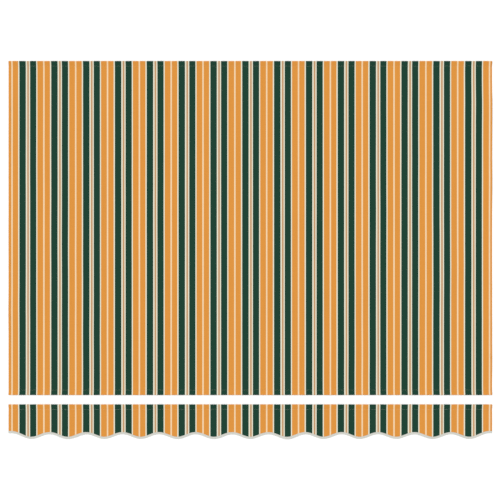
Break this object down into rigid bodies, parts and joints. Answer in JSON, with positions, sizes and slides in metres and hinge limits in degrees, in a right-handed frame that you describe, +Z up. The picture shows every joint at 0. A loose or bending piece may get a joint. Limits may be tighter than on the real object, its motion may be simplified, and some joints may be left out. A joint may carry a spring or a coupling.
{
  "type": "fabric awning cover with valance",
  "caption": "Striped woven awning cover with a rod pocket hem along its roller and front edges, and a separate matching valance with a rod hem and a tape-bound scalloped edge, laid flat.",
  "frame": {"origin": "centre of the laid-out set on the surface that it lies on", "axes": "+X across the stripes, +Y along the stripes from the valance to the roller edge, +Z up out of the cloth's outer face"},
  "size_m": [3.4, 2.657, 0.0078],
  "materials": {
    "cover_fabric": "woven awning cloth in lengthwise stripes of orange, dark green, cream, tan and pale apricot",
    "valance_fabric": "the same striped awning cloth as the cover",
    "binding_tape": "woven off-white edging tape",
    "rod_plastic": "extruded off-white plastic rod"
  },
  "bodies": {
    "root": {"cover_cloth": "cover_fabric", "front_rod": "rod_plastic", "roller_rod": "rod_plastic", "valance_cloth": "valance_fabric", "valance_binding": "binding_tape", "valance_rod": "rod_plastic"}
  },
  "joints": []
}
